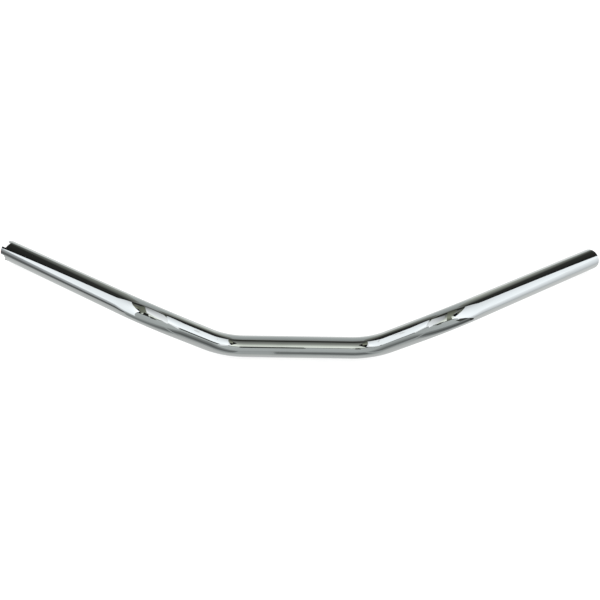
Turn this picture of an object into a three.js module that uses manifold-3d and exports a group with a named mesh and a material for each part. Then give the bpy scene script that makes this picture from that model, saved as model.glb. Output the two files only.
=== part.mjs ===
// A bare motorcycle handlebar: one length of round steel tube, cold bent in four places, chrome
// plated and open at both ends. The throttle end carries four notches.
//
// Millimetres. The origin is the middle of the clamp section, on the tube's centre line.
// +X is the rider's left, +Y is back towards the rider and +Z is up. The middle and the two
// open ends lie at one height, with the two arms arching up between them.

import * as THREE from "three";
import { mergeVertices } from "three/addons/utils/BufferGeometryUtils.js";
import Module from "manifold-3d";

// The tube
const TUBE_DIAMETER = 25.4;
const WALL = 3;

// The centre line on the rider's left, from corner to corner before the bends are rounded.
// The rider's right is its mirror image.
const CLAMP_HALF = 86;
const ARM = new THREE.Vector3(77, 4, 67);
const GRIP = new THREE.Vector3(205, 125, -67);
const BEND_RADIUS = 63.5;

// Notches in the throttle end: two slots that cross at a right angle, turned back from the
// vertical plane through the grip
const NOTCH_WIDTH = 9.5;
const NOTCH_DEPTH = 7;
const NOTCH_TURN = THREE.MathUtils.degToRad(6.5);

// Facets: sides of the tube and the largest turn from one ring of a bend to the next
const TUBE_SIDES = 36;
const RING_TURN = THREE.MathUtils.degToRad(5.5);

const UP = new THREE.Vector3(0, 0, 1);
const THROTTLE_SIDE = -1;
const CLUTCH_SIDE = 1;

const wasm = await Module();
wasm.setup();

// The corners of the centre line's left half, or of its right half when side is THROTTLE_SIDE.
function cornersOn(side) {
  const mirror = new THREE.Vector3(side, 1, 1);
  const firstBend = new THREE.Vector3(CLAMP_HALF, 0, 0);
  const secondBend = firstBend.clone().add(ARM);
  const openEnd = secondBend.clone().add(GRIP);
  return [firstBend, secondBend, openEnd].map((corner) => corner.multiply(mirror));
}

// The points and directions along one bend: an arc that touches both straights near the corner.
function bendStations(before, corner, after) {
  const entering = corner.clone().sub(before).normalize();
  const leaving = after.clone().sub(corner).normalize();
  const angle = entering.angleTo(leaving);
  const reach = BEND_RADIUS * Math.tan(angle / 2);
  const start = corner.clone().addScaledVector(entering, -reach);
  const axis = entering.clone().cross(leaving).normalize();
  const centre = start.clone().addScaledVector(axis.clone().cross(entering), BEND_RADIUS);
  const spoke = start.clone().sub(centre);
  const steps = Math.ceil(angle / RING_TURN);
  return Array.from({ length: steps + 1 }, (_, step) => {
    const turn = (angle * step) / steps;
    const point = spoke.clone().applyAxisAngle(axis, turn).add(centre);
    const tangent = entering.clone().applyAxisAngle(axis, turn);
    return { point, tangent };
  });
}

// Every point where the tube gets a ring, from the throttle end to the clutch end.
function barStations() {
  const corners = [...cornersOn(THROTTLE_SIDE).reverse(), ...cornersOn(CLUTCH_SIDE)];
  const last = corners.length - 1;
  const bends = corners.slice(1, last).map((corner, i) => bendStations(corners[i], corner, corners[i + 2]));
  const firstTangent = corners[1].clone().sub(corners[0]).normalize();
  const lastTangent = corners[last].clone().sub(corners[last - 1]).normalize();
  return [
    { point: corners[0], tangent: firstTangent },
    ...bends.flat(),
    { point: corners[last], tangent: lastTangent },
  ];
}

// A curve whose evenly numbered samples fall on the stations, so that a long straight takes two
// rings and a bend takes many.
class StationCurve extends THREE.Curve {
  constructor(stations) {
    super();
    this.stations = stations;
    this.steps = stations.length - 1;
  }

  stationAt(share) {
    return this.stations[Math.round(share * this.steps)];
  }

  getPointAt(share, target = new THREE.Vector3()) {
    return target.copy(this.stationAt(share).point);
  }

  getTangentAt(share, target = new THREE.Vector3()) {
    return target.copy(this.stationAt(share).tangent);
  }
}

// The tube's cross-section: a disc with a round hole.
function tubeSection() {
  const section = new THREE.Shape();
  section.absarc(0, 0, TUBE_DIAMETER / 2, 0, 2 * Math.PI, false);
  const bore = new THREE.Path();
  bore.absarc(0, 0, TUBE_DIAMETER / 2 - WALL, 0, 2 * Math.PI, true);
  section.holes.push(bore);
  return section;
}

// The bent tube with both ends cut square. An arc is divided into twice curveSegments.
function bentTube() {
  const path = new StationCurve(barStations());
  return new THREE.ExtrudeGeometry(tubeSection(), {
    steps: path.steps,
    curveSegments: TUBE_SIDES / 2,
    extrudePath: path,
  });
}

// The two crossed slots of the throttle end, as boxes that reach NOTCH_DEPTH into the tube.
function notchCutters() {
  const [, secondBend, openEnd] = cornersOn(THROTTLE_SIDE);
  const axis = openEnd.clone().sub(secondBend).normalize();
  const across = UP.clone().cross(axis).normalize();
  const upright = axis.clone().cross(across);
  const frame = new THREE.Matrix4().makeBasis(across, upright, axis).setPosition(openEnd);
  return [NOTCH_TURN, NOTCH_TURN + Math.PI / 2].map((turn) => {
    const slot = new THREE.BoxGeometry(NOTCH_WIDTH, 2 * TUBE_DIAMETER, 2 * NOTCH_DEPTH);
    slot.rotateZ(turn);
    return slot.applyMatrix4(frame);
  });
}

function solidOf(geometry) {
  const bare = geometry.clone();
  bare.deleteAttribute("normal");
  bare.deleteAttribute("uv");
  const merged = mergeVertices(bare);
  const vertProperties = new Float32Array(merged.attributes.position.array);
  const triVerts = new Uint32Array(merged.index.array);
  return new wasm.Manifold(new wasm.Mesh({ numProp: 3, vertProperties, triVerts }));
}

function geometryOf(solid) {
  const mesh = solid.getMesh();
  const geometry = new THREE.BufferGeometry();
  geometry.setAttribute("position", new THREE.BufferAttribute(mesh.vertProperties, 3));
  geometry.setIndex(new THREE.BufferAttribute(mesh.triVerts, 1));
  geometry.computeVertexNormals();
  return geometry;
}

function handlebarTube() {
  const cut = notchCutters().reduce((tube, slot) => tube.subtract(solidOf(slot)), solidOf(bentTube()));
  const chrome = new THREE.MeshStandardMaterial({ color: 0xc8cccd, roughness: 0.06, metalness: 1 });
  const mesh = new THREE.Mesh(geometryOf(cut), chrome);
  mesh.name = "handlebar_tube";
  return mesh;
}

const handlebar = new THREE.Group();
handlebar.add(handlebarTube());

export default handlebar;
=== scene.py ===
"""Looks for the handlebar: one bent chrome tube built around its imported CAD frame."""

import math

import bmesh
import bpy
from mathutils import Matrix, Quaternion, Vector


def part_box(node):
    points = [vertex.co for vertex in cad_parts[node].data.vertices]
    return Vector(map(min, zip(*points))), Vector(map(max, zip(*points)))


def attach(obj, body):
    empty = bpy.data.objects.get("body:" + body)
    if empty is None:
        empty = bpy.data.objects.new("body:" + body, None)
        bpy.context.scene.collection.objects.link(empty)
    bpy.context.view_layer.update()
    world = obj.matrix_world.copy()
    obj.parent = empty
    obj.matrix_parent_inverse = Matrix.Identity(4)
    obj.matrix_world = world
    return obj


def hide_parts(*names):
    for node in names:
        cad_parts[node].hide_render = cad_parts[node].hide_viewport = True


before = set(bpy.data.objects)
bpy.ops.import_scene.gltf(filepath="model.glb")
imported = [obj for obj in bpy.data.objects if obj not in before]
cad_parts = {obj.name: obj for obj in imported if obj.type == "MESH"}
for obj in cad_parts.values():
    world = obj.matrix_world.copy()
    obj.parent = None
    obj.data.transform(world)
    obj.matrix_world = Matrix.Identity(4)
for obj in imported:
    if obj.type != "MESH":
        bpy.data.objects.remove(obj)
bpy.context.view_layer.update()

# The tube, in metres, with the same driving dimensions as the CAD
TUBE_RADIUS = 0.0127
BORE_RADIUS = 0.0097
CLAMP_HALF = 0.086
ARM = Vector((0.077, 0.004, 0.067))
GRIP = Vector((0.205, 0.125, -0.067))
BEND_RADIUS = 0.0635

# Notches in the throttle end
NOTCH_WIDTH = 0.0095
NOTCH_DEPTH = 0.007
NOTCH_TURN = math.radians(6.5)
NOTCH_FILLET = 0.0012

# Mesh: columns round the tube in each quarter, and rows along it
FILLET_STEPS = 4
FLOOR_STEPS = 8
TONGUE_STEPS = 16
QUARTER = 2 * FILLET_STEPS + FLOOR_STEPS + TONGUE_STEPS
COLUMNS = 4 * QUARTER
TONGUE_ROWS = 8
COLLAR_ROWS = 6
COLLAR_END = 0.012
EVENING_LENGTH = 0.03
STRAIGHT_STEP = 0.006
BEND_STEP = math.radians(2)
ROUNDING = 1e-7

# The rounding of every sharp edge
DEBURR = 0.00035
DEBURR_SEGMENTS = 3
DEBURR_FROM = math.radians(50)

# A cold bend flattens the tube slightly towards and away from its centre
BEND_FLATTENING = 0.03

# The weld bead left inside a tube that is rolled from strip. It is trimmed off near the ends.
BEAD_HEIGHT = 0.00028
BEAD_HALF_WIDTH = 0.0011
BEAD_ANGLE = NOTCH_TURN + math.radians(225)
BEAD_START = 0.016
BEAD_RUNOUT = 0.006

THROTTLE_SIDE = -1
CLUTCH_SIDE = 1

# Camera: turned down from the horizon, then yawed and rolled, and moved so that the middle of
# the clamp section stands at this place in its view. The lens is assumed. The angles and the
# place were fitted to the bar's outline.
FOCAL_LENGTH = 39
SENSOR_WIDTH = 36
CAMERA_DOWN = math.radians(60.668)
CAMERA_YAW = math.radians(0.136)
CAMERA_ROLL = math.radians(0.843)
CAMERA_BACK = Vector((0.00244, 0.05511, 0.76175))


def make_camera():
    """The camera at the photograph's viewing angle."""
    data = bpy.data.cameras.new("camera")
    data.lens = FOCAL_LENGTH
    data.sensor_width = SENSOR_WIDTH
    data.clip_start = 0.01
    data.clip_end = 100
    camera = bpy.data.objects.new("camera", data)
    turn = (
        Matrix.Rotation(math.pi / 2 - CAMERA_DOWN, 4, "X")
        @ Matrix.Rotation(CAMERA_YAW, 4, "Y")
        @ Matrix.Rotation(CAMERA_ROLL, 4, "Z")
    )
    camera.matrix_world = turn @ Matrix.Translation(CAMERA_BACK)
    bpy.context.scene.collection.objects.link(camera)
    bpy.context.scene.camera = camera


make_camera()


# The centre line


def corners_on(side):
    """The corners of one half of the centre line, from its first bend to its open end."""
    corners = [Vector((CLAMP_HALF, 0, 0))]
    corners.append(corners[-1] + ARM)
    corners.append(corners[-1] + GRIP)
    return [Vector((side * c.x, c.y, c.z)) for c in corners]


def bend_stations(before, corner, after):
    """(point, tangent, bend direction, share) along one bend, share running from 0 to 1."""
    entering = (corner - before).normalized()
    leaving = (after - corner).normalized()
    angle = entering.angle(leaving)
    axis = entering.cross(leaving).normalized()
    start = corner - entering * BEND_RADIUS * math.tan(angle / 2)
    centre = start + axis.cross(entering) * BEND_RADIUS
    steps = math.ceil(angle / BEND_STEP)
    stations = []
    for step in range(steps + 1):
        turn = Quaternion(axis, angle * step / steps)
        point = centre + turn @ (start - centre)
        stations.append((point, turn @ entering, (point - centre).normalized(), step / steps))
    return stations


def straight_stations(start, end, tangent):
    """Stations strictly between two points."""
    steps = math.ceil((end - start).length / STRAIGHT_STEP)
    return [(start.lerp(end, i / steps), tangent, None, 0) for i in range(1, steps)]


def bar_stations():
    """Every station from the collar behind the throttle end to the clutch end."""
    corners = corners_on(THROTTLE_SIDE)[::-1] + corners_on(CLUTCH_SIDE)
    bends = [bend_stations(*corners[i - 1 : i + 2]) for i in range(1, len(corners) - 1)]
    tangent = (corners[1] - corners[0]).normalized()
    stations = [(corners[0] + tangent * COLLAR_END, tangent, None, 0)]
    for bend in bends:
        stations += straight_stations(stations[-1][0], bend[0][0], bend[0][1])
        stations += bend
    tangent = (corners[-1] - corners[-2]).normalized()
    end = (corners[-1], tangent, None, 0)
    return stations + straight_stations(stations[-1][0], end[0], tangent) + [end]


# The tube's mesh


def smoothstep(x):
    """A smooth rise from 0 to 1 as x goes from 0 to 1."""
    x = min(max(x, 0), 1)
    return x * x * (3 - 2 * x)


def notch_columns():
    """For each column, its offset across its notch, or None on a tongue, and its quarter.
    The offset runs from one side wall of the notch to the other."""
    half = NOTCH_WIDTH / 2
    flat = half - NOTCH_FILLET
    first = [flat + NOTCH_FILLET * math.cos(math.pi / 2 * i / FILLET_STEPS) for i in range(FILLET_STEPS)]
    middle = [flat - 2 * flat * i / FLOOR_STEPS for i in range(FLOOR_STEPS + 1)]
    across = [-t for t in first + middle + [-t for t in first[::-1]]]
    tongue = [None] * (TONGUE_STEPS - 1)
    return [(t, quarter) for quarter in range(4) for t in across + tongue]


def column_angles(radius):
    """Each column's angle at the notches, on a circle of the given radius."""
    columns = notch_columns()
    edge = math.asin(NOTCH_WIDTH / 2 / radius)
    tongue = math.pi / 2 - 2 * edge
    angles = []
    since = 0
    for t, quarter in columns:
        middle = NOTCH_TURN + quarter * math.pi / 2
        since = 0 if t is not None else since + 1
        if t is None:
            angles.append(middle + edge + tongue * since / TONGUE_STEPS)
        else:
            angles.append(middle + math.asin(t / radius))
    return angles


def even_angles():
    """Each column's angle away from the notches, evenly spaced."""
    start = NOTCH_TURN - math.asin(NOTCH_WIDTH / 2 / TUBE_RADIUS)
    return [start + 2 * math.pi * i / COLUMNS for i in range(COLUMNS)]


def on_side_wall(t):
    """Whether an offset across a notch, or None on a tongue, is on one of its side walls."""
    return t is not None and abs(t) > NOTCH_WIDTH / 2 - ROUNDING


def notch_floor(t):
    """How far the tube's end is cut back at an offset across a notch."""
    past = abs(t) - (NOTCH_WIDTH / 2 - NOTCH_FILLET)
    if past <= 0:
        return NOTCH_DEPTH
    return NOTCH_DEPTH - NOTCH_FILLET + math.sqrt(max(NOTCH_FILLET**2 - past**2, 0))


def carried_frames(stations, across, upright):
    """The two directions across the tube at each station, carried along without twisting."""
    frames = [(across, upright)]
    for (_, before, _, _), (_, after, _, _) in zip(stations, stations[1:]):
        turn = before.rotation_difference(after)
        across, upright = turn @ across, turn @ upright
        frames.append((across, upright))
    return frames


def bead_at(angle, depth):
    """How far the weld bead stands into the bore."""
    offset = math.remainder(angle - BEAD_ANGLE, 2 * math.pi) * BORE_RADIUS
    crown = max(1 - (offset / BEAD_HALF_WIDTH) ** 2, 0)
    return BEAD_HEIGHT * crown * smoothstep((depth - BEAD_START) / BEAD_RUNOUT)


def strain_at(station, point):
    """How stretched the skin is, up to 1 on the outside of a bend's middle."""
    middle, _, outward, share = station
    if outward is None:
        return 0
    return max((point - middle).normalized().dot(outward), 0) * math.sin(math.pi * share)


def ring_points(station, basis, angles, radii):
    """One ring of the tube, flattened a little where the tube is bent."""
    point, _, outward, share = station
    across, upright = basis
    ring = []
    for angle, radius in zip(angles, radii):
        spoke = across * math.cos(angle) + upright * math.sin(angle)
        if outward is not None:
            squeeze = BEND_FLATTENING * math.sin(math.pi * share) ** 2
            spoke = spoke - outward * spoke.dot(outward) * squeeze
        ring.append(point + spoke * radius)
    return ring


def tube_mesh():
    """The whole tube as one closed quad mesh with its notches. Materials: 0 outside, 1 cut
    faces, 2 bore. Attributes: straight is each point's place on the unbent tube, depth is how
    far it is from the nearer open end, and strain is how far bending has stretched the skin."""
    stations = bar_stations()
    corners = corners_on(THROTTLE_SIDE)
    outward_axis = (corners[2] - corners[1]).normalized()
    end = corners[2]
    across = Vector((0, 0, 1)).cross(outward_axis).normalized()
    upright = outward_axis.cross(across)
    frames = carried_frames(stations, across, upright)
    columns = notch_columns()
    even = even_angles()
    travelled = [COLLAR_END]
    for one, two in zip(stations, stations[1:]):
        travelled.append(travelled[-1] + (two[0] - one[0]).length)

    mesh = bmesh.new()
    straight = mesh.verts.layers.float_vector.new("straight")
    from_end = mesh.verts.layers.float.new("depth")
    strain = mesh.verts.layers.float.new("strain")

    def depth_at(along):
        return min(along, travelled[-1] - along)

    def add(point, angle, radius, along, stretched=0):
        vert = mesh.verts.new(point)
        vert[straight] = (radius * math.cos(angle), radius * math.sin(angle), along)
        vert[from_end] = depth_at(along)
        vert[strain] = stretched
        return vert

    def skin(radius):
        """Rows of vertices for one skin: tongue rows (None over a notch), then full rings."""
        at_notches = column_angles(radius)

        def at(column, depth):
            angle = at_notches[column]
            spoke = across * math.cos(angle) + upright * math.sin(angle)
            return add(end - outward_axis * depth + spoke * radius, angle, radius, depth)

        side_depth = NOTCH_DEPTH - NOTCH_FILLET
        rows = []
        for row in range(TONGUE_ROWS):
            depth = side_depth * row / TONGUE_ROWS
            on_tongue = [t is None or on_side_wall(t) for t, _ in columns]
            rows.append([at(i, depth) if on_tongue[i] else None for i in range(COLUMNS)])
        for row in range(COLLAR_ROWS):
            ring = []
            for i, (t, _) in enumerate(columns):
                top = side_depth if t is None else notch_floor(t)
                ring.append(at(i, top + (COLLAR_END - top) * row / COLLAR_ROWS))
            rows.append(ring)
        for station, basis, along in zip(stations, frames, travelled):
            blend = smoothstep((along - COLLAR_END) / EVENING_LENGTH)
            angles = [a + (b - a) * blend for a, b in zip(at_notches, even)]
            radii = [radius] * COLUMNS
            if radius == BORE_RADIUS:
                radii = [radius - bead_at(angle, depth_at(along)) for angle in angles]
            points = ring_points(station, basis, angles, radii)
            placed = zip(points, angles)
            rows.append([add(p, a, radius, along, strain_at(station, p)) for p, a in placed])
        return rows

    outer = skin(TUBE_RADIUS)
    inner = skin(BORE_RADIUS)

    def face(verts, material):
        made = mesh.faces.new(verts)
        made.material_index = material
        made.smooth = True

    last = len(outer) - 1
    for row in range(last):
        for i in range(COLUMNS):
            j = (i + 1) % COLUMNS
            for rows, material, flip in ((outer, 0, False), (inner, 2, True)):
                quad = [rows[row][i], rows[row][j], rows[row + 1][j], rows[row + 1][i]]
                if None not in quad:
                    face(quad[::-1] if flip else quad, material)
    for i in range(COLUMNS):
        j = (i + 1) % COLUMNS
        face([outer[last][i], outer[last][j], inner[last][j], inner[last][i]], 1)
        one, two = columns[i][0], columns[j][0]
        over_notch = one is not None and two is not None
        top = TONGUE_ROWS if over_notch else 0
        face([inner[top][i], inner[top][j], outer[top][j], outer[top][i]], 1)
    for i, (t, _) in enumerate(columns):
        if not on_side_wall(t):
            continue
        for row in range(TONGUE_ROWS):
            quad = [outer[row][i], outer[row + 1][i], inner[row + 1][i], inner[row][i]]
            face(quad if t > 0 else quad[::-1], 1)
    bmesh.ops.recalc_face_normals(mesh, faces=mesh.faces)
    data = bpy.data.meshes.new("tube")
    mesh.to_mesh(data)
    mesh.free()
    return data


def make_tube():
    """The one visual piece, riding its body and standing for the CAD tube."""
    tube = bpy.data.objects.new("chrome_tube", tube_mesh())
    bpy.context.scene.collection.objects.link(tube)
    bevel = tube.modifiers.new("deburred_edges", "BEVEL")
    bevel.width = DEBURR
    bevel.segments = DEBURR_SEGMENTS
    bevel.limit_method = "ANGLE"
    bevel.angle_limit = DEBURR_FROM
    bevel.harden_normals = True
    bevel.use_clamp_overlap = True
    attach(tube, "root")
    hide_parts("handlebar_tube")
    return tube


tube = make_tube()


# Materials

MM = 0.001
CHROME = (0.60, 0.605, 0.605, 1)
CHROME_FILM = (0.55, 0.556, 0.548, 1)
CHROME_SPECK = (0.30, 0.29, 0.27, 1)
CUT_BRIGHT = (0.58, 0.582, 0.575, 1)
CUT_DULL = (0.46, 0.458, 0.445, 1)
BORE_PLATED = (0.44, 0.44, 0.43, 1)
BORE_DULLED = (0.33, 0.325, 0.31, 1)
STEEL_PALE = (0.22, 0.212, 0.2, 1)
STEEL_DARK = (0.12, 0.115, 0.11, 1)
STEEL_STAIN = (0.13, 0.085, 0.055, 1)


class Recipe:
    """One metal material and short calls for the nodes that make it up."""

    def __init__(self, name):
        self.material = bpy.data.materials.new(name)
        self.material.use_nodes = True
        self.tree = self.material.node_tree
        self.shader = self.tree.nodes["Principled BSDF"]
        self.shader.inputs["Metallic"].default_value = 1

    def node(self, kind, inputs, **settings):
        made = self.tree.nodes.new("ShaderNode" + kind)
        for name, value in settings.items():
            setattr(made, name, value)
        self.fill(made, inputs)
        return made

    def fill(self, node, inputs):
        for socket, value in inputs.items():
            if isinstance(value, bpy.types.NodeSocket):
                self.tree.links.new(value, node.inputs[socket])
            else:
                node.inputs[socket].default_value = value

    def attribute(self, name, output="Fac"):
        return self.node("Attribute", {}, attribute_name=name).outputs[output]

    def place(self, drawn_out):
        """The place on the unbent tube, drawn out along the axes by these factors."""
        scale = [1 / factor for factor in drawn_out]
        straight = self.attribute("straight", "Vector")
        return self.node("Mapping", {"Vector": straight, "Scale": scale}).outputs["Vector"]

    def noise(self, size, detail=2, drawn_out=(1, 1, 1)):
        """Noise from 0 to 1 whose features are about this size."""
        inputs = {"Vector": self.place(drawn_out), "Scale": 1 / size, "Detail": detail}
        return self.node("TexNoise", inputs).outputs["Fac"]

    def specks(self, spacing, radius):
        """Scattered specks, 1 inside and 0 outside."""
        inputs = {"Vector": self.place((1, 1, 1)), "Scale": 1 / spacing}
        near = self.node("TexVoronoi", inputs).outputs["Distance"]
        return self.range(near, radius / spacing, 0.6 * radius / spacing)

    def range(self, value, low, high, to_low=0, to_high=1):
        inputs = {"Value": value, "From Min": low, "From Max": high, "To Min": to_low, "To Max": to_high}
        return self.node("MapRange", inputs).outputs["Result"]

    def math(self, operation, one, two):
        return self.node("Math", {0: one, 1: two}, operation=operation).outputs[0]

    def blend(self, share, one, two):
        """A colour running from one to two as share runs from 0 to 1."""
        return self.node("Mix", {0: share, 6: one, 7: two}, data_type="RGBA").outputs[2]

    def bump(self, *layers):
        """Layers of (height, distance), each laid over the one before."""
        normal = None
        for height, distance in layers:
            inputs = {"Height": height, "Distance": distance, "Strength": 1}
            if normal:
                inputs["Normal"] = normal
            normal = self.node("Bump", inputs).outputs["Normal"]
        return normal

    def finish(self, colour, roughness, normal):
        self.fill(self.shader, {"Base Color": colour, "Roughness": roughness, "Normal": normal})
        return self.material


def chrome_outside():
    """Bright chrome. Long mill waves and finer peel bend the reflections a little, more where a
    bend has stretched the skin, and a thin film of handling and wiping dulls them in patches."""
    recipe = Recipe("chrome")
    waves = recipe.noise(16 * MM, drawn_out=(1, 1, 2.5))
    peel = recipe.noise(1.8 * MM)
    strain = recipe.attribute("strain")
    coarse_peel = recipe.math("MULTIPLY", recipe.noise(3.5 * MM), strain)
    belt = recipe.noise(0.2 * MM, drawn_out=(40, 40, 1))
    coarse = ((waves, 0.05 * MM), (coarse_peel, 0.016 * MM))
    normal = recipe.bump(*coarse, (peel, 0.003 * MM), (belt, 0.0003 * MM))
    patches = recipe.range(recipe.noise(48 * MM, detail=3), 0.48, 0.68)
    wipes = recipe.range(recipe.noise(2.5 * MM, detail=3, drawn_out=(1, 1, 14)), 0.4, 0.7)
    film = recipe.math("MULTIPLY", patches, wipes)
    specks = recipe.specks(9 * MM, 0.28 * MM)
    # The edges of both ends are buffed less than the rest
    ends = recipe.range(recipe.attribute("depth"), 0, 5 * MM, 0.05, 0)
    film_roughness = recipe.range(film, 0, 1, 0.018, 0.085)
    roughness = recipe.math("ADD", film_roughness, recipe.range(belt, 0.3, 0.7, 0, 0.014))
    roughness = recipe.math("ADD", roughness, ends)
    roughness = recipe.math("ADD", roughness, recipe.math("MULTIPLY", specks, 0.35))
    colour = recipe.blend(film, CHROME, CHROME_FILM)
    colour = recipe.blend(specks, colour, CHROME_SPECK)
    return recipe.finish(colour, roughness, normal)


def cut_faces():
    """The end faces and the notch walls: chrome over saw and punch marks."""
    recipe = Recipe("cut")
    marks = recipe.noise(0.22 * MM, detail=3, drawn_out=(25, 1, 25))
    pits = recipe.noise(0.6 * MM)
    normal = recipe.bump((marks, 0.012 * MM), (pits, 0.01 * MM))
    brushed = recipe.range(marks, 0.3, 0.7, 0.1, 0.2)
    roughness = recipe.math("ADD", brushed, recipe.range(pits, 0.4, 0.7, 0, 0.08))
    colour = recipe.blend(recipe.range(marks, 0.35, 0.7), CUT_BRIGHT, CUT_DULL)
    return recipe.finish(colour, roughness, normal)


def bore_skin():
    """The bore: the plating thins out within a few centimetres of the mouth and leaves drawn
    steel with scale, draw lines and a little brown staining."""
    recipe = Recipe("bore")
    grain = recipe.noise(0.9 * MM, detail=4)
    draw_lines = recipe.noise(0.3 * MM, drawn_out=(1, 1, 60))
    clouds = recipe.noise(7 * MM, detail=4)
    ragged = recipe.range(clouds, 0.25, 0.75, -8 * MM, 8 * MM)
    reach = recipe.math("ADD", recipe.attribute("depth"), ragged)
    bare = recipe.range(reach, 12 * MM, 34 * MM)
    plated = recipe.blend(recipe.range(grain, 0.4, 0.65), BORE_PLATED, BORE_DULLED)
    steel = recipe.blend(recipe.range(grain, 0.35, 0.65), STEEL_PALE, STEEL_DARK)
    stain = recipe.range(recipe.noise(5 * MM, detail=4), 0.52, 0.68, 0, 0.75)
    steel = recipe.blend(stain, steel, STEEL_STAIN)
    colour = recipe.blend(bare, plated, steel)
    normal = recipe.bump((draw_lines, 0.012 * MM), (grain, 0.03 * MM))
    worn = recipe.range(bare, 0, 1, 0.24, 0.5)
    roughness = recipe.math("ADD", worn, recipe.range(grain, 0.3, 0.7, -0.06, 0.1))
    # Scale on the bare steel scatters light as paint does
    recipe.fill(recipe.shader, {"Metallic": recipe.range(bare, 0, 1, 0.6, 0.25)})
    return recipe.finish(colour, roughness, normal)


for material in (chrome_outside(), cut_faces(), bore_skin()):
    tube.data.materials.append(material)


# Stage: a plain pale floor and a white world for the camera and for diffuse light, and round the
# bar the studio that the chrome reflects

FLOOR_REACH = 15
FLOOR_GREY = (0.4, 0.4, 0.4, 1)
FLOOR_GLOW = 0.72
WORLD_WHITE = (1, 1, 1, 1)
WORLD_LIGHT = 1.15

# Distances of the studio's cards from their centres, and the step from one card to the next
FAR = 3.0
NEAR = 0.95
BEND = 0.11
NECK = 0.06
LAYER_STEP = 0.001
CARD_GRID = 16

WHITE = (0.95, 0.985, 1.0)
COOL_WHITE = (0.92, 0.972, 1.0)
WALL_GREY = (0.93, 1.0, 0.99)
CEILING_GREY = (0.94, 1.0, 0.91)
OLIVE = (0.93, 1.0, 0.78)
TABLE_GREY = (0.97, 1.0, 0.99)

# The studio's cards, as a name, a tint and four corners. A corner is (azimuth, elevation,
# brightness), seen from the middle of the bar or from a bend. They were set one by one, led by how
# bright the photographed chrome is in each direction.

# Far surroundings
SURROUNDINGS = [
    ("table_far", TABLE_GREY, (-45, -10, 0.5), (45, -10, 0.5), (135, -10, 1.3), (-135, -10, 0.8)),
    ("ceiling_back", CEILING_GREY, (-140, 52, 0.1), (140, 52, 0.1), (90, 84, 0.5), (-90, 84, 0.45)),
    ("ceiling_front", CEILING_GREY, (-90, 84, 0.45), (90, 84, 0.5), (40, 52, 1.8), (-40, 52, 1.1)),
    ("back_wall", WALL_GREY, (130, -12, 0.8), (230, -12, 0.6), (220, 32, 0.4), (140, 32, 0.4)),
    ("back_seam_low", CEILING_GREY, (140, 32, 0.3), (220, 32, 0.3), (215, 45, 0.02), (145, 45, 0.02)),
    ("back_seam", CEILING_GREY, (145, 45, 0.02), (215, 45, 0.02), (215, 55, 0.03), (145, 55, 0.03)),
    ("front_wall", WALL_GREY, (-58, -24, 0.5), (58, -24, 0.5), (44, 46, 0.75), (-44, 46, 0.6)),
    ("left_shoulder", OLIVE, (-146, 42, 0.06), (-100, 40, 0.35), (-80, 74, 0.45), (-138, 66, 0.15)),
    ("right_shoulder", OLIVE, (100, 40, 0.35), (146, 42, 0.06), (138, 66, 0.15), (80, 74, 0.45)),
    ("left_light_far", WHITE, (-50, 20, 1.3), (-116, 20, 1.5), (-119, 54, 0.8), (-46, 55, 1.3)),
    ("right_light_far", WHITE, (112, 20, 1.5), (40, 20, 1.3), (42, 60, 1.5), (119, 55, 1.0)),
    ("camera_gap", CEILING_GREY, (1, 47, 0.25), (-14, 46, 0.03), (-14, 61, 0.03), (1, 62, 0.15)),
]

# Near side lights, with the dark gaps behind them
SIDE_LIGHTS = [
    ("left_back_fade", CEILING_GREY, (-134, -1, 0.03), (-160, -14, 0.55), (-168, 34, 0.25), (-150, 42, 0.1)),
    ("left_back_gap", CEILING_GREY, (-96, -2, 0.01), (-134, -1, 0.03), (-150, 42, 0.06), (-118, 36, 0.02)),
    ("right_back_fade", CEILING_GREY, (160, -14, 0.8), (134, -1, 0.06), (150, 42, 0.05), (168, 34, 0.25)),
    ("right_back_gap", CEILING_GREY, (134, -1, 0.06), (96, -2, 0.01), (118, 36, 0.02), (150, 42, 0.03)),
    ("left_light_low", COOL_WHITE, (-54, -1, 0.7), (-96, -1, 0.12), (-104, 9, 0.6), (-50, 10, 1.35)),
    ("left_light", COOL_WHITE, (-50, 10, 1.35), (-104, 9, 1.6), (-142, 47, 0.9), (-58, 56, 2.0)),
    ("right_light_low", COOL_WHITE, (100, -14, 0.75), (60, -14, 0.5), (58, 8, 1.5), (106, 8, 1.4)),
    ("right_light", COOL_WHITE, (106, 8, 1.6), (58, 8, 1.55), (42, 56, 2.0), (144, 46, 0.75)),
    ("right_frame", CEILING_GREY, (71, -30, 0.03), (57, -30, 0.1), (42, 30, 0.1), (51, 30, 0.05)),
]

# Close over the second bend on the throttle side: a light, and the dark neck that hides part of
# it. The arm reflects some of the light too.
LEFT_BEND_LIGHT = [
    ("left_bend_light", WHITE, (178, 44, 0.15), (124, 38, 0.9), (44, 30, 1.6), (-30, 84, 1.5)),
]
LEFT_BEND_NECK = [
    ("left_bend_sky", OLIVE, (180, 44, 0.15), (-30, 84, 0.35), (-52, 54, 0.2), (-135, 52, 0.2)),
    ("left_bend_gap", CEILING_GREY, (-8, 48, 0.05), (-40, 48, 0.03), (-58, 74, 0.01), (0, 76, 0.02)),
]

# The same on the clutch side
RIGHT_BEND_LIGHT = [
    ("right_bend_light", WHITE, (-44, 30, 1.6), (-122, 38, 0.9), (-146, 64, 0.4), (-40, 74, 0.7)),
]
RIGHT_BEND_NECK = [
    ("right_bend_back", OLIVE, (156, 41, 0.12), (-166, 40, 0.1), (-60, 82, 0.4), (60, 80, 0.4)),
    ("right_bend_front", OLIVE, (60, 80, 0.4), (-60, 82, 0.4), (2, 50, 0.1), (34, 50, 0.14)),
]

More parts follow.
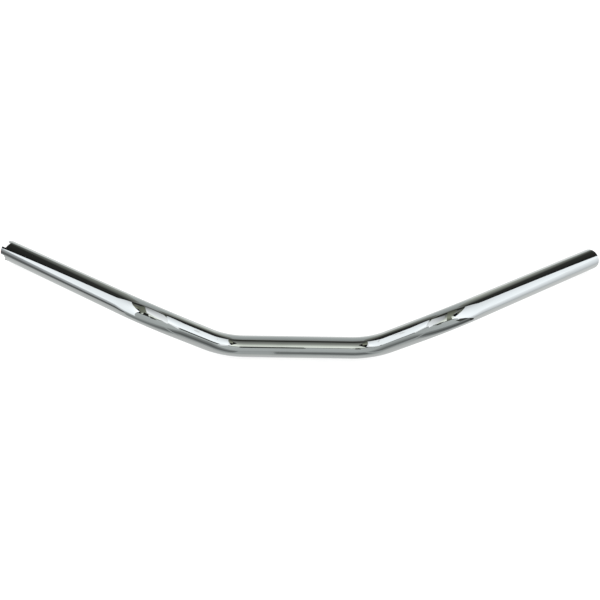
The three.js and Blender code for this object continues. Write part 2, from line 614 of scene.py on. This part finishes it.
# The table's front edge
TABLE_EDGE = [
    ("edge_up_left", WALL_GREY, (-64, -12, 0.25), (0, -5, 0.15), (0, 14, 0.42), (-64, 6, 0.6)),
    ("edge_down_left", WALL_GREY, (-64, -26, 0.6), (0, -24, 0.5), (0, -5, 0.15), (-64, -12, 0.25)),
    ("edge_up_right", WALL_GREY, (0, -5, 0.15), (62, -14, 0.06), (60, 4, 0.35), (0, 16, 0.42)),
    ("edge_down_right", WALL_GREY, (0, -24, 0.5), (68, -32, 0.4), (62, -14, 0.06), (0, -5, 0.15)),
    ("edge_gap_left", WALL_GREY, (-4, -22, 0.55), (-9, -22, 0.55), (-9, 12, 0.5), (-4, 12, 0.5)),
    ("left_edge", WALL_GREY, (-66, -11, 0.15), (-98, -9, 0.3), (-98, 0, 0.12), (-66, 0, 0.1)),
]


def direction(azimuth, elevation):
    """Azimuth 0 is -Y, towards the camera, and 90 is +X. Both angles are in degrees."""
    a, e = math.radians(azimuth), math.radians(elevation)
    return Vector((math.sin(a) * math.cos(e), -math.cos(a) * math.cos(e), math.sin(e)))


def emission_from_corners(name):
    """A light-emitting material that reads its colour from the attribute glow."""
    material = bpy.data.materials.new(name)
    material.use_nodes = True
    nodes, links = material.node_tree.nodes, material.node_tree.links
    nodes.clear()
    glow = nodes.new("ShaderNodeAttribute")
    glow.attribute_name = "glow"
    emission = nodes.new("ShaderNodeEmission")
    output = nodes.new("ShaderNodeOutputMaterial")
    links.new(glow.outputs["Color"], emission.inputs["Color"])
    links.new(emission.outputs["Emission"], output.inputs["Surface"])
    return material


CARD_MATERIAL = emission_from_corners("studio_card")


def card(name, tint, corners, distance, centre):
    """One four-cornered card of the studio, curved round its centre. Only reflections see it."""
    ends = [direction(a, e) for a, e, _ in corners]
    verts, faces, glow = [], [], []
    for row in range(CARD_GRID + 1):
        v = row / CARD_GRID
        for column in range(CARD_GRID + 1):
            u = column / CARD_GRID
            weights = ((1 - u) * (1 - v), u * (1 - v), u * v, (1 - u) * v)
            point = sum((w * p for w, p in zip(weights, ends)), Vector())
            verts.append(centre + point.normalized() * distance)
            level = sum(w * c[2] for w, c in zip(weights, corners))
            glow.append([level * t for t in tint] + [1])
    for row in range(CARD_GRID):
        for column in range(CARD_GRID):
            first = row * (CARD_GRID + 1) + column
            faces.append((first, first + 1, first + CARD_GRID + 2, first + CARD_GRID + 1))
    mesh = bpy.data.meshes.new(name)
    mesh.from_pydata(verts, [], faces)
    attribute = mesh.attributes.new("glow", "FLOAT_COLOR", "POINT")
    attribute.data.foreach_set("color", [x for colour in glow for x in colour])
    mesh.materials.append(CARD_MATERIAL)
    made = bpy.data.objects.new(name, mesh)
    made.visible_camera = False
    made.visible_diffuse = False
    made.visible_shadow = False
    made.visible_transmission = False
    made.visible_volume_scatter = False
    bpy.context.scene.collection.objects.link(made)


def make_studio():
    """All the cards. Each hangs in front of the earlier ones at its distance."""
    middle = Vector()
    left, right = (corners_on(side)[1] for side in (THROTTLE_SIDE, CLUTCH_SIDE))
    groups = [
        (SURROUNDINGS, FAR, middle),
        (SIDE_LIGHTS, NEAR, middle),
        (LEFT_BEND_LIGHT, BEND, left),
        (LEFT_BEND_NECK, NECK, left),
        (RIGHT_BEND_LIGHT, BEND, right),
        (RIGHT_BEND_NECK, NECK, right),
        (TABLE_EDGE, NEAR, middle),
    ]
    hung = 0
    for cards, distance, centre in groups:
        for name, tint, *corners in cards:
            card(name, tint, corners, distance - LAYER_STEP * hung, centre)
            hung += 1


def make_floor():
    """A pale floor that touches the tube, glowing a little so that its shadow stays faint."""
    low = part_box("handlebar_tube")[0].z
    mesh = bpy.data.meshes.new("floor")
    reach = FLOOR_REACH
    corners = [(-reach, -reach, low), (reach, -reach, low), (reach, reach, low), (-reach, reach, low)]
    mesh.from_pydata(corners, [], [(0, 1, 2, 3)])
    floor = bpy.data.objects.new("floor", mesh)
    floor.visible_glossy = False
    bpy.context.scene.collection.objects.link(floor)
    material = bpy.data.materials.new("floor")
    material.use_nodes = True
    shader = material.node_tree.nodes["Principled BSDF"]
    shader.inputs["Base Color"].default_value = FLOOR_GREY
    shader.inputs["Emission Color"].default_value = WORLD_WHITE
    shader.inputs["Emission Strength"].default_value = FLOOR_GLOW
    mesh.materials.append(material)


make_studio()
make_floor()

world = bpy.data.worlds.new("studio")
bpy.context.scene.world = world
world.use_nodes = True
world.node_tree.nodes["Background"].inputs["Color"].default_value = WORLD_WHITE
world.node_tree.nodes["Background"].inputs["Strength"].default_value = WORLD_LIGHT
world.cycles_visibility.glossy = False
bpy.context.scene.view_settings.view_transform = "Standard"
